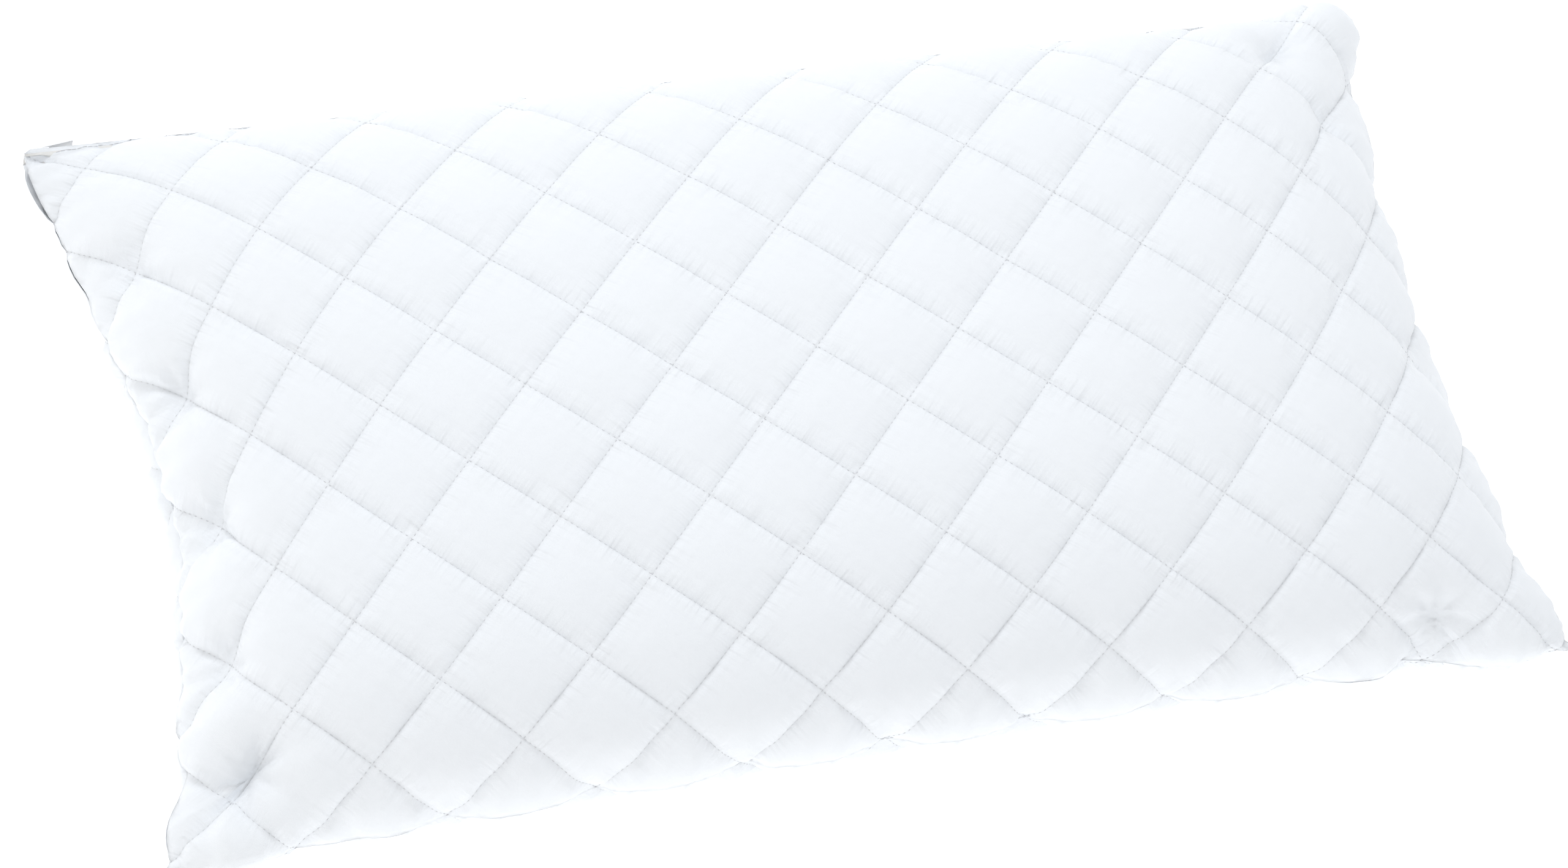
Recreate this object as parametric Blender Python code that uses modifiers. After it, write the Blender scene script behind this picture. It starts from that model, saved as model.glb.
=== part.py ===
"""A quilted bed pillow: a zipped cover of two diamond-quilted panels round a stuffed inner cushion.

Metres, +Z up. +X runs along the zip, +Y points out of the zipped edge, and the origin is on the
resting surface under the middle of the pillow.
"""

import math

import bmesh
import bpy
from mathutils import Matrix, Vector

# Overall sizes of the stuffed pillow
PILLOW_LENGTH = 0.790
PILLOW_DEPTH = 0.442
SEAM_HEIGHT = 0.060
CROWN_HEIGHT = 0.055
BELLY_DEPTH = 0.070
SIDE_DRAW = 0.030
FRONT_DRAW = 0.022
CROWN_POWER_X = 8
CROWN_POWER_Y = 4

# The zipped edge carries the slider, so the middle of the whole pillow lies this far behind the seam's
MIDDLE_OFFSET = 0.0045

# Diamond quilting
QUILT_SPACING = 0.0548
QUILT_INSET = 0.0292
QUILT_LOFT = 0.005
SHORTEST_COLUMN = 0.018

# Cloth, wadding and thread
FACE_CLOTH = 0.0008
BATTING_STITCHED = 0.0020
BACKING_CLOTH = 0.0004
TICKING_CLOTH = 0.0006
THREAD_RADIUS = 0.0003
CLOTH_GAP = 0.0004
CLEARANCE = 0.0003
FOLD_ROOM = 0.0012
SEAM_THREAD_INSET = 0.003
TOPSTITCH_INSET = 0.0025
TOPSTITCH_LIFT = 0.0011
QUILTING_LIFT = 0.0004

# Zip chain
ZIP_BAND = 0.013
ZIP_END_INSET = 0.0045
TAPE_CLOTH = 0.0005
TAPE_END_INSET = 0.0020
TAPE_FLANGE = 0.008
TAPE_END_TURN = 0.0012
COIL_WIDTH = 0.0022
COIL_THICKNESS = 0.0016
COIL_PARTING = 0.0018
TACK_LENGTH = 0.0016
TACK_WIDTH = 0.0070
TACK_THICKNESS = 0.0012
CUSHION_SETBACK = 0.0225
WADDING_SETBACK = 0.011

# Zip slider and its pull
SLIDER_LENGTH = 0.0110
SLIDER_WIDTH = 0.0088
SLIDER_PLATE = 0.0009
SLIDER_POST_LENGTH = 0.0024
SLIDER_POST_WIDTH = 0.0010
SLIDER_EDGE = 0.0003
BRIDGE_WIDTH = 0.0018
BRIDGE_BAR = 0.0011
BRIDGE_OPENING = 0.0046
PULL_LENGTH = 0.0200
PULL_WIDTH = 0.0056
PULL_THICKNESS = 0.0011
PULL_EYE_LENGTH = 0.0056
PULL_EYE_WIDTH = 0.0026
PULL_REST_LIFT = math.radians(8)

UPPER = 1
LOWER = -1


def new_collection(name):
    """A collection linked to the scene."""
    collection = bpy.data.collections.new(name)
    bpy.context.scene.collection.children.link(collection)
    return collection


def make_material(name, colour, roughness, metallic=0.0):
    """A Principled material."""
    material = bpy.data.materials.new(name)
    material.use_nodes = True
    shader = material.node_tree.nodes["Principled BSDF"]
    shader.inputs["Base Color"].default_value = (*colour, 1.0)
    shader.inputs["Roughness"].default_value = roughness
    shader.inputs["Metallic"].default_value = metallic
    return material


def add_object(name, mesh, material, collection):
    """An object with one material, in the given collection."""
    obj = bpy.data.objects.new(name, mesh)
    mesh.materials.append(material)
    collection.objects.link(obj)
    return obj


def mesh_from(bm, name):
    """The finished mesh of a bmesh."""
    mesh = bpy.data.meshes.new(name)
    bm.to_mesh(mesh)
    bm.free()
    return mesh


# ---------------------------------------------------------------------------
# The stuffed form: where each point of the flat panels ends up
# ---------------------------------------------------------------------------


def grid_stops(length):
    """Stations from edge to edge, a half diamond apart, from the quilting's inset onward."""
    half_diagonal = QUILT_SPACING / math.sqrt(2)
    stops = [0.0]
    station = QUILT_INSET
    while station < length - SHORTEST_COLUMN:
        stops.append(station)
        station += half_diagonal
    stops.append(length)
    return stops


COLUMNS = grid_stops(PILLOW_LENGTH)
ROWS = grid_stops(PILLOW_DEPTH)
LAST_COLUMN = len(COLUMNS) - 1
LAST_ROW = len(ROWS) - 1


def on_border(column, row):
    return column in (0, LAST_COLUMN) or row in (0, LAST_ROW)


def on_zip_edge(row):
    """Rows count from the zipped edge forward."""
    return row == 0


def is_stitched(column, row):
    """Quilting lines cross at every second station; the stations between are diamond centres."""
    return (column + row) % 2 == 0


def has_room_below(point, height):
    """Relief and stitches are left off the underside where it lies on the surface below."""
    return point.z > height


def crown_point(side, column, row):
    """A station of the smooth stuffed form, without the quilting's own relief."""
    u = 2 * COLUMNS[column] / PILLOW_LENGTH - 1
    v = 1 - 2 * ROWS[row] / PILLOW_DEPTH
    x = u * (PILLOW_LENGTH / 2 - SIDE_DRAW * (1 - v * v) * u**4)
    y = v * PILLOW_DEPTH / 2
    if v < 0:
        y += FRONT_DRAW * (1 - u * u) * v**6
    fullness = (1 - abs(u) ** CROWN_POWER_X) * (1 - abs(v) ** CROWN_POWER_Y)
    if side == UPPER:
        z = SEAM_HEIGHT + CROWN_HEIGHT * fullness
    else:
        z = max(0.0, SEAM_HEIGHT - BELLY_DEPTH * fullness)
    if on_zip_edge(row):
        z = SEAM_HEIGHT + side * ZIP_BAND / 2
    return Vector((x, y, z))


def crown_normals(points, side):
    """Outward directions at the stations, from the neighbouring stations."""
    normals = {}
    for column, row in points:
        west = points[max(column - 1, 0), row]
        east = points[min(column + 1, LAST_COLUMN), row]
        back = points[column, max(row - 1, 0)]
        front = points[column, min(row + 1, LAST_ROW)]
        normals[column, row] = side * (east - west).cross(back - front).normalized()
    return normals


def panel_form(side):
    """Stations, outward directions and quilting relief of one side of the pillow."""
    points = {}
    for column in range(LAST_COLUMN + 1):
        for row in range(LAST_ROW + 1):
            points[column, row] = crown_point(side, column, row)
    normals = crown_normals(points, side)
    relief = {}
    for key, point in points.items():
        puffed = not is_stitched(*key) and not on_border(*key)
        room = has_room_below(point, 2 * QUILT_LOFT)
        relief[key] = QUILT_LOFT if puffed and room else 0.0
    return {"side": side, "points": points, "normals": normals, "relief": relief}


def is_corner(column, row):
    return column in (0, LAST_COLUMN) and row in (0, LAST_ROW)


def inner_neighbour(column, row):
    """The nearest station that is not on the border."""
    return (
        min(max(column, 1), LAST_COLUMN - 1),
        min(max(row, 1), LAST_ROW - 1),
    )


def layer_point(form, column, row, depth, lofted):
    """A station moved in from the panel's outside by a depth, with or without the relief."""
    key = (column, row)
    out = (form["relief"][key] if lofted else 0.0) - depth
    return form["points"][key] + form["normals"][key] * out


def border_point(form, column, row, depth, inner_depth, lofted, meet, setback):
    """A layer's border station, drawn in far enough for its inside to stop short of the seam plane."""
    side = form["side"]
    inner = inner_neighbour(column, row)
    if depth:
        depth += FOLD_ROOM
        inner_depth += FOLD_ROOM
    edge = layer_point(form, column, row, depth, lofted)
    if on_zip_edge(row):
        inside = layer_point(form, *inner, depth, False)
        share = setback / (inside - edge).length
        return edge.lerp(inside, share)
    normal_rise = abs(form["normals"][column, row].z)
    rise = side * (form["points"][inner].z - SEAM_HEIGHT)
    share = min((meet + inner_depth * normal_rise) / rise, 0.9)
    bare = form["points"][column, row].lerp(form["points"][inner], share)
    return bare - form["normals"][column, row] * depth


def layer_stations(form, depth, thickness, lofted, meet, setback):
    """All stations of one cloth layer."""
    stations = {}
    for column, row in form["points"]:
        if on_border(column, row):
            stations[column, row] = border_point(
                form, column, row, depth, depth + thickness, lofted, meet, setback
            )
        else:
            stations[column, row] = layer_point(form, column, row, depth, lofted)
    return stations


def sheet_bmesh(stations, side):
    """A grid laid through the stations, each square folded along its quilting line.

    A corner square folds into its corner, and one beside the zip away from the nearer corner.
    """
    bm = bmesh.new()
    bmesh.ops.create_grid(bm, x_segments=LAST_COLUMN, y_segments=LAST_ROW, size=1.0)
    bm.verts.ensure_lookup_table()
    corner = {}
    for vertex in bm.verts:
        column = round((vertex.co.x + 1) / 2 * LAST_COLUMN)
        row = round((1 - vertex.co.y) / 2 * LAST_ROW)
        corner[column, row] = vertex
    for key, vertex in corner.items():
        vertex.co = stations[key]
    place = {vertex: key for key, vertex in corner.items()}
    for face in list(bm.faces):
        keys = [place[vertex] for vertex in face.verts]
        tips = [key for key in keys if is_corner(*key)]
        columns = sorted({key[0] for key in keys})
        if tips:
            fold = [tips[0], inner_neighbour(*tips[0])]
        elif any(on_zip_edge(key[1]) for key in keys):
            if columns[0] > LAST_COLUMN / 2:
                columns.reverse()
            fold = [(columns[0], 0), (columns[1], 1)]
        else:
            fold = [key for key in keys if is_stitched(*key)]
        bmesh.utils.face_split(face, *[corner[key] for key in fold])
    if side == LOWER:
        bmesh.ops.reverse_faces(bm, faces=bm.faces)
    return bm


# ---------------------------------------------------------------------------
# Soft pieces
# ---------------------------------------------------------------------------


def cloth_layer(name, form, depth, thickness, lofted, meet, setback, material, collection):
    """A sewn cloth layer: an open sheet thickened inwards."""
    stations = layer_stations(form, depth, thickness, lofted, meet, setback)
    obj = add_object(
        name, mesh_from(sheet_bmesh(stations, form["side"]), name), material, collection
    )
    solidify = obj.modifiers.new("Cloth thickness", "SOLIDIFY")
    solidify.thickness = thickness
    solidify.offset = -1.0
    return obj, stations


def batting_layer(name, form, depth, material, collection):
    """Wadding that is thin along the quilting lines and lofted at the middle of each diamond."""
    stations = layer_stations(
        form, depth, BATTING_STITCHED, True, CLEARANCE, WADDING_SETBACK
    )
    obj = add_object(
        name, mesh_from(sheet_bmesh(stations, form["side"]), name), material, collection
    )
    full = BATTING_STITCHED + QUILT_LOFT
    group = obj.vertex_groups.new(name="loft")
    for vertex in obj.data.vertices:
        key = min(stations, key=lambda station: (stations[station] - vertex.co).length)
        if form["relief"][key]:
            group.add([vertex.index], 1.0, "REPLACE")
    solidify = obj.modifiers.new("Wadding thickness", "SOLIDIFY")
    solidify.thickness = full
    solidify.offset = -1.0
    solidify.vertex_group = "loft"
    solidify.thickness_vertex_group = BATTING_STITCHED / full
    return obj


def cushion_stations(form, depth, meet, inner_depth):
    """Stations of the inner cushion, whose back edge is set in from the zip."""
    stations = {}
    for column, row in form["points"]:
        if not on_border(column, row):
            stations[column, row] = layer_point(form, column, row, depth, False)
        elif on_zip_edge(row):
            x = form["points"][column, row].x
            if column in (0, LAST_COLUMN):
                x -= math.copysign(CUSHION_SETBACK, x)
            outward = inner_depth - depth
            y = form["points"][column, row].y - CUSHION_SETBACK - depth - outward
            z = SEAM_HEIGHT + form["side"] * (meet + outward)
            stations[column, row] = Vector((x, y, z))
        else:
            stations[column, row] = border_point(
                form, column, row, depth, inner_depth, False, meet, 0.0
            )
    return stations


def ticking_layer(name, form, depth, material, collection):
    """One side of the inner cushion's closely woven bag."""
    stations = cushion_stations(form, depth, CLEARANCE, depth + TICKING_CLOTH)
    obj = add_object(
        name, mesh_from(sheet_bmesh(stations, form["side"]), name), material, collection
    )
    solidify = obj.modifiers.new("Cloth thickness", "SOLIDIFY")
    solidify.thickness = TICKING_CLOTH
    solidify.offset = -1.0
    return obj


def fibre_core(name, forms, depth, material, collection):
    """The stuffing: both sides' stations meet in one closed rim."""
    rims = [cushion_stations(form, depth, 0.0, depth) for form in forms]
    for key in rims[0]:
        if on_border(*key):
            middle = (rims[0][key] + rims[1][key]) / 2
            inner = inner_neighbour(*key)
            heart = (rims[0][inner] + rims[1][inner]) / 2
            middle += (heart - middle).normalized() * 2 * (TICKING_CLOTH + CLOTH_GAP)
            middle.z = SEAM_HEIGHT
            rims[0][key] = middle
            rims[1][key] = middle
    bm = bmesh.new()
    for form, stations in zip(forms, rims):
        half = sheet_bmesh(stations, form["side"])
        half_mesh = mesh_from(half, name + "_half")
        bm.from_mesh(half_mesh)
        bpy.data.meshes.remove(half_mesh)
    bmesh.ops.remove_doubles(bm, verts=bm.verts, dist=0.00001)
    return add_object(name, mesh_from(bm, name), material, collection)


def thread(name, points, material, collection):
    """A line of lockstitch, as one round strand."""
    curve = bpy.data.curves.new(name, "CURVE")
    curve.dimensions = "3D"
    curve.bevel_depth = THREAD_RADIUS
    curve.bevel_resolution = 1
    curve.use_fill_caps = True
    spline = curve.splines.new("POLY")
    spline.points.add(len(points) - 1)
    for target, point in zip(spline.points, points):
        target.co = (*point, 1.0)
    obj = bpy.data.objects.new(name, curve)
    curve.materials.append(material)
    collection.objects.link(obj)
    return obj


def side_seam_thread(face_stations, material, collection):
    """The thread of the closed seam: down the left side, along the front and up the right side."""
    route = [(0, row) for row in range(1, LAST_ROW)]
    route += [(0, LAST_ROW)]
    route += [(column, LAST_ROW) for column in range(1, LAST_COLUMN + 1)]
    route += [(LAST_COLUMN, row) for row in range(LAST_ROW - 1, 0, -1)]
    points = []
    for key in route:
        edge = face_stations[key].copy()
        heart = face_stations[inner_neighbour(*key)].copy()
        edge.z = SEAM_HEIGHT
        heart.z = SEAM_HEIGHT
        points.append(edge + (heart - edge).normalized() * SEAM_THREAD_INSET)
    return thread("side_seam_thread", points, material, collection)


def topstitch(name, form, face_stations, material, collection):
    """The thread that holds a zip tape to its panel, on the panel's outside."""
    points = []
    for column in range(1, LAST_COLUMN):
        edge = face_stations[column, 0]
        inside = face_stations[column, 1]
        out = form["normals"][column, 0] * (TOPSTITCH_LIFT + THREAD_RADIUS)
        points.append(edge + (inside - edge).normalized() * TOPSTITCH_INSET + out)
    return thread(name, points, material, collection)


def quilting_thread(name, form, material, collection):
    """The quilting's stitches: crossing lines that lie in the folds, clear of the surface below."""
    bm = bmesh.new()
    lift = QUILTING_LIFT + THREAD_RADIUS
    crossings = {}
    for key, point in form["points"].items():
        if is_stitched(*key) and not on_border(*key) and has_room_below(point, lift):
            crossings[key] = bm.verts.new(layer_point(form, *key, -lift, False))
    for (column, row), vertex in crossings.items():
        for next_row in (row - 1, row + 1):
            other = crossings.get((column + 1, next_row))
            if other:
                bm.edges.new((vertex, other))
    skin = bm.verts.layers.skin.new()
    for vertex in bm.verts:
        vertex[skin].radius = (THREAD_RADIUS, THREAD_RADIUS)
    bm.verts.ensure_lookup_table()
    bm.verts[0][skin].use_root = True
    obj = add_object(name, mesh_from(bm, name), material, collection)
    obj.modifiers.new("Round thread", "SKIN")
    return obj


# ---------------------------------------------------------------------------
# Zip chain, straight along the back edge
# ---------------------------------------------------------------------------


def tape_plane():
    """How far out the zip tape's outside lies."""
    depth = (FACE_CLOTH + CLOTH_GAP) * math.sqrt(0.5)
    return PILLOW_DEPTH / 2 - depth - CLEARANCE


def zip_tape(name, form, face_stations, material, collection):
    """A woven tape: an upright band beside the coil, then a flange under the panel's edge."""
    side = form["side"]
    plane = tape_plane()
    start = SEAM_HEIGHT + side * (COIL_PARTING / 2)
    bend = SEAM_HEIGHT + side * (ZIP_BAND / 2 - FACE_CLOTH - CLOTH_GAP)
    end_x = PILLOW_LENGTH / 2 - TAPE_END_INSET
    stations = []
    for column in range(LAST_COLUMN + 1):
        if column in (0, LAST_COLUMN):
            x = math.copysign(end_x, face_stations[column, 0].x)
            tip = Vector((x, plane - TAPE_END_TURN, bend))
        else:
            edge = form["points"][column, 0]
            inside = form["points"][column, 1]
            x = edge.x
            under = form["normals"][column, 0] * (FACE_CLOTH + FOLD_ROOM)
            tip = edge + (inside - edge).normalized() * TAPE_FLANGE - under
        stations.append((Vector((x, plane, start)), Vector((x, plane, bend)), tip))
    bm = bmesh.new()
    bmesh.ops.create_grid(bm, x_segments=LAST_COLUMN, y_segments=2, size=1.0)
    for vertex in bm.verts:
        column = round((vertex.co.x + 1) / 2 * LAST_COLUMN)
        vertex.co = stations[column][round(vertex.co.y + 1)]
    if side == UPPER:
        bmesh.ops.reverse_faces(bm, faces=bm.faces)
    obj = add_object(name, mesh_from(bm, name), material, collection)
    solidify = obj.modifiers.new("Tape thickness", "SOLIDIFY")
    solidify.thickness = TAPE_CLOTH
    solidify.offset = -1.0
    return obj


def coil_reach():
    """Half the length of the coils."""
    return PILLOW_LENGTH / 2 - ZIP_END_INSET


def coil_plane():
    """How far out the middle of the coils lies."""
    return tape_plane() + CLEARANCE + COIL_THICKNESS / 2


def zip_coil(name, side, material, collection):
    """One row of the nylon coil, as the bar that its turns fill."""
    bm = bmesh.new()
    bmesh.ops.create_cone(
        bm, cap_ends=True, segments=10, radius1=0.5, radius2=0.5, depth=1.0
    )
    size = Matrix.Diagonal((COIL_WIDTH, COIL_THICKNESS, 2 * coil_reach(), 1.0))
    bmesh.ops.transform(bm, matrix=Matrix.Rotation(math.pi / 2, 4, "Y") @ size, verts=bm.verts)
    mesh = mesh_from(bm, name)
    mesh.shade_smooth()
    obj = add_object(name, mesh, material, collection)
    rise = (COIL_PARTING + COIL_WIDTH) / 2
    obj.location = (0.0, coil_plane(), SEAM_HEIGHT + side * rise)
    return obj


def box_mesh(name, size):
    """A box of the given size about its own middle."""
    bm = bmesh.new()
    bmesh.ops.create_cube(bm, size=1.0)
    bmesh.ops.scale(bm, vec=size, verts=bm.verts)
    return mesh_from(bm, name)


def bar_tack(name, end, material, collection):
    """Dense stitching across both tapes, just past the coils."""
    obj = add_object(
        name, box_mesh(name, (TACK_LENGTH, TACK_THICKNESS, TACK_WIDTH)), material, collection
    )
    x = coil_reach() + CLEARANCE + TACK_LENGTH / 2
    obj.location = (end * x, tape_plane() + CLEARANCE + TACK_THICKNESS / 2, SEAM_HEIGHT)
    bevel = obj.modifiers.new("Rounded", "BEVEL")
    bevel.width = TACK_THICKNESS / 4
    bevel.segments = 2
    return obj


# ---------------------------------------------------------------------------
# Slider and pull
# ---------------------------------------------------------------------------


def slider_centre_x():
    """The slider rests against the left end of the coils."""
    return -coil_reach() + CLEARANCE + SLIDER_LENGTH / 2


def slider_levels():
    """Out-of-pillow levels of the slider's plates, from the tape and coils that they hold."""
    inner_top = tape_plane() - TAPE_CLOTH - CLEARANCE
    outer_bottom = coil_plane() + COIL_THICKNESS / 2 + CLEARANCE
    return inner_top, outer_bottom


def hinge_height():
    """How far out the pull's hinge axis lies: the middle of the bridge's opening."""
    return slider_levels()[1] + SLIDER_PLATE + PULL_THICKNESS


def add_cutter(name, size, location, collection):
    """A hidden box for a Boolean."""
    cutter = bpy.data.objects.new(name, box_mesh(name, size))
    cutter.location = location
    cutter.hide_render = True
    cutter.display_type = "WIRE"
    collection.objects.link(cutter)
    return cutter


def boolean(obj, operation, other):
    modifier = obj.modifiers.new(other.name, "BOOLEAN")
    modifier.operation = operation
    modifier.object = other


def zip_slider(material, collection, cutters):
    """Two plates joined by the post that parts the coils, with a bridge for the pull."""
    inner_top, outer_bottom = slider_levels()
    low = inner_top - SLIDER_PLATE
    high = outer_bottom + SLIDER_PLATE
    x = slider_centre_x()
    body = add_object(
        "zip_slider_body",
        box_mesh("zip_slider_body", (SLIDER_LENGTH, high - low, SLIDER_WIDTH)),
        material,
        collection,
    )
    body.location = (x, (low + high) / 2, SEAM_HEIGHT)

    # The tape's slot and the two coil channels run right through, either side of the post.
    channel_width = COIL_WIDTH + COIL_PARTING / 2 + CLEARANCE
    tape_slot_top = tape_plane() + CLEARANCE
    for side, word in ((UPPER, "upper"), (LOWER, "lower")):
        inner_face = SLIDER_POST_WIDTH / 2
        slot_width = SLIDER_WIDTH
        boolean(
            body,
            "DIFFERENCE",
            add_cutter(
                f"tape_slot_{word}",
                (2 * SLIDER_LENGTH, tape_slot_top - inner_top, slot_width),
                (x, (tape_slot_top + inner_top) / 2, SEAM_HEIGHT + side * (inner_face + slot_width / 2)),
                cutters,
            ),
        )
        channel = channel_width - inner_face
        boolean(
            body,
            "DIFFERENCE",
            add_cutter(
                f"coil_channel_{word}",
                (2 * SLIDER_LENGTH, outer_bottom - inner_top, channel),
                (x, (outer_bottom + inner_top) / 2, SEAM_HEIGHT + side * (inner_face + channel / 2)),
                cutters,
            ),
        )
    behind_post = SLIDER_LENGTH - SLIDER_POST_LENGTH
    boolean(
        body,
        "DIFFERENCE",
        add_cutter(
            "closed_chain_channel",
            (behind_post * 2, outer_bottom - inner_top, 2 * channel_width),
            (
                x - SLIDER_LENGTH / 2 + SLIDER_POST_LENGTH + behind_post,
                (outer_bottom + inner_top) / 2,
                SEAM_HEIGHT,
            ),
            cutters,
        ),
    )

    # The bridge stands on the outer plate, with an opening for the pull's crossbar.
    opening_height = 2 * PULL_THICKNESS
    sunk = SLIDER_PLATE / 2
    bridge_height = opening_height + BRIDGE_BAR + sunk
    bridge_length = BRIDGE_OPENING + 2 * BRIDGE_BAR
    bridge = add_cutter(
        "bridge_block",
        (bridge_length, bridge_height, BRIDGE_WIDTH),
        (x, high - sunk + bridge_height / 2, SEAM_HEIGHT),
        cutters,
    )
    boolean(body, "UNION", bridge)
    opening = add_cutter(
        "bridge_opening",
        (BRIDGE_OPENING, opening_height, 2 * BRIDGE_WIDTH),
        (x, high + opening_height / 2, SEAM_HEIGHT),
        cutters,
    )
    boolean(body, "DIFFERENCE", opening)
    bevel = body.modifiers.new("Cast edges", "BEVEL")
    bevel.width = SLIDER_EDGE
    bevel.segments = 1
    return body


def zip_pull(material, collection, cutters):
    """A flat tab whose eye takes the bridge; its crossbar lies on the hinge axis."""
    pull = add_object(
        "zip_pull_tab",
        box_mesh("zip_pull_tab", (PULL_LENGTH, PULL_THICKNESS, PULL_WIDTH)),
        material,
        collection,
    )
    crossbar = PULL_THICKNESS
    pull.data.transform(Matrix.Translation((PULL_LENGTH / 2 - crossbar / 2, 0.0, 0.0)))
    eye = add_cutter(
        "pull_eye",
        (PULL_EYE_LENGTH, 4 * PULL_THICKNESS, PULL_EYE_WIDTH),
        (crossbar / 2 + PULL_EYE_LENGTH / 2, 0.0, 0.0),
        cutters,
    )
    eye.parent = pull
    boolean(pull, "DIFFERENCE", eye)
    pull.location = (slider_centre_x(), hinge_height(), SEAM_HEIGHT)
    pull.rotation_euler = (0.0, 0.0, PULL_REST_LIFT)
    bevel = pull.modifiers.new("Cast edges", "BEVEL")
    bevel.width = SLIDER_EDGE
    bevel.segments = 2
    return pull


# ---------------------------------------------------------------------------
# Assembly, from the outside in, then the zip
# ---------------------------------------------------------------------------


def build_pillow():
    for obj in list(bpy.data.objects):
        bpy.data.objects.remove(obj)
    parts = new_collection("bed_pillow")
    cutters = new_collection("cutters")

    cotton = make_material("white quilted cotton", (0.90, 0.915, 0.94), 0.85)
    wadding = make_material("polyester wadding", (0.93, 0.93, 0.92), 0.95)
    gauze = make_material("backing gauze", (0.90, 0.90, 0.89), 0.90)
    ticking = make_material("cotton ticking", (0.91, 0.91, 0.89), 0.85)
    stuffing = make_material("hollow fibre stuffing", (0.94, 0.94, 0.94), 0.98)
    sewing = make_material("white sewing thread", (0.88, 0.89, 0.91), 0.60)
    nylon = make_material("white nylon coil", (0.90, 0.90, 0.90), 0.40)
    tape = make_material("woven zip tape", (0.90, 0.90, 0.89), 0.80)
    slider_metal = make_material("white lacquered zinc", (0.85, 0.86, 0.87), 0.35)

    batting_depth = FACE_CLOTH + CLOTH_GAP
    backing_depth = batting_depth + BATTING_STITCHED + CLOTH_GAP
    ticking_depth = backing_depth + BACKING_CLOTH + CLOTH_GAP
    core_depth = ticking_depth + TICKING_CLOTH + CLOTH_GAP
    seam_gap = THREAD_RADIUS + CLEARANCE

    forms = []
    seam_stations = None
    for side, word in ((UPPER, "upper"), (LOWER, "lower")):
        form = panel_form(side)
        forms.append(form)
        _, face_stations = cloth_layer(
            f"face_{word}", form, 0.0, FACE_CLOTH, True, seam_gap, 0.0, cotton, parts
        )
        batting_layer(f"batting_{word}", form, batting_depth, wadding, parts)
        cloth_layer(
            f"backing_{word}", form, backing_depth, BACKING_CLOTH, False,
            CLEARANCE, WADDING_SETBACK, gauze, parts,
        )
        ticking_layer(f"ticking_{word}", form, ticking_depth, ticking, parts)
        zip_tape(f"zip_tape_{word}", form, face_stations, tape, parts)
        zip_coil(f"zip_coil_{word}", side, nylon, parts)
        topstitch(f"zip_topstitch_{word}", form, face_stations, sewing, parts)
        quilting_thread(f"quilting_thread_{word}", form, sewing, parts)
        seam_stations = seam_stations or face_stations
    fibre_core("fibre_core", forms, core_depth, stuffing, parts)
    side_seam_thread(seam_stations, sewing, parts)

    bar_tack("zip_bar_tack_left", -1, sewing, parts)
    bar_tack("zip_bar_tack_right", 1, sewing, parts)
    zip_slider(slider_metal, parts, cutters)
    zip_pull(slider_metal, parts, cutters)

    origin = bpy.data.objects.new("pillow_origin", None)
    origin.location = (0.0, -MIDDLE_OFFSET, 0.0)
    parts.objects.link(origin)
    for obj in [*parts.objects, *cutters.objects]:
        if obj is not origin and obj.parent is None:
            obj.parent = origin


build_pillow()
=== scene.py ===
import math

import bmesh
import bpy
import numpy as np
from mathutils import Matrix, Vector


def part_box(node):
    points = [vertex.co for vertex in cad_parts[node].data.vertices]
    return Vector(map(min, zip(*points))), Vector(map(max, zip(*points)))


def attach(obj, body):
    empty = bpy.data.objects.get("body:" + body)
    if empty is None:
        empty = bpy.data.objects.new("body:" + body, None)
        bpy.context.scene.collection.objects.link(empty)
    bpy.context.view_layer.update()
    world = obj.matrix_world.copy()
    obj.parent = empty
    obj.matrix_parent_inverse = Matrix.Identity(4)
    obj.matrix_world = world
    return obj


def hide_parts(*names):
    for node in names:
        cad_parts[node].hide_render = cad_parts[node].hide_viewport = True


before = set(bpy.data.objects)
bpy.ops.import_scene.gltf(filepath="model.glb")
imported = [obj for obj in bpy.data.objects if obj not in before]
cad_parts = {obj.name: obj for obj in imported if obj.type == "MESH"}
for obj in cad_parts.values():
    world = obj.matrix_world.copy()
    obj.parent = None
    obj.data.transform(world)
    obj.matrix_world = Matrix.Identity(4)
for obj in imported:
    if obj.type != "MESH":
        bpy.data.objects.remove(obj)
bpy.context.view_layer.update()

# ---------------------------------------------------------------------------
# Quilted cover, upper and lower panel
# Two panels of white cotton percale, each quilted in diamonds to its own wadding. They are sewn
# together along both ends and the front, turned right side out and stuffed. The zip is at the back.
# ---------------------------------------------------------------------------

UPPER, LOWER, SEWN = 1, -1, 0
STEP = 0.005
COLUMNS, ROWS = 160, 94
STEPS_PER_HALF = 8
FIRST_CROSSING = 14
CUT = (COLUMNS * STEP, ROWS * STEP)
PERCALE = 0.0005
YARN_PITCH = 0.00042
PERCALE_COLOUR = (0.898, 0.931, 0.972)
QUILT_RELIEF = 0.0052
ZIP_EDGE_FLAT = 0.014

zip_low, zip_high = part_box("zip_tape_lower"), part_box("zip_tape_upper")
face_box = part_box("face_upper")
HALF_LENGTH = face_box[1].x
ZIP_EDGE_Y = face_box[1].y
SEAM_Z = (zip_low[1].z + zip_high[0].z) / 2
PANEL_EDGE_RISE = 0.0065
FINISHED_DEPTH = 0.415
CROWN_TOP = 0.113


def diamond_place(column, row):
    """Where a point of the cut lies among the diamonds: whole numbers are quilting lines."""
    across = (column - FIRST_CROSSING) / (2 * STEPS_PER_HALF)
    along = (row - FIRST_CROSSING) / (2 * STEPS_PER_HALF)
    return across + along, across - along


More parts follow.
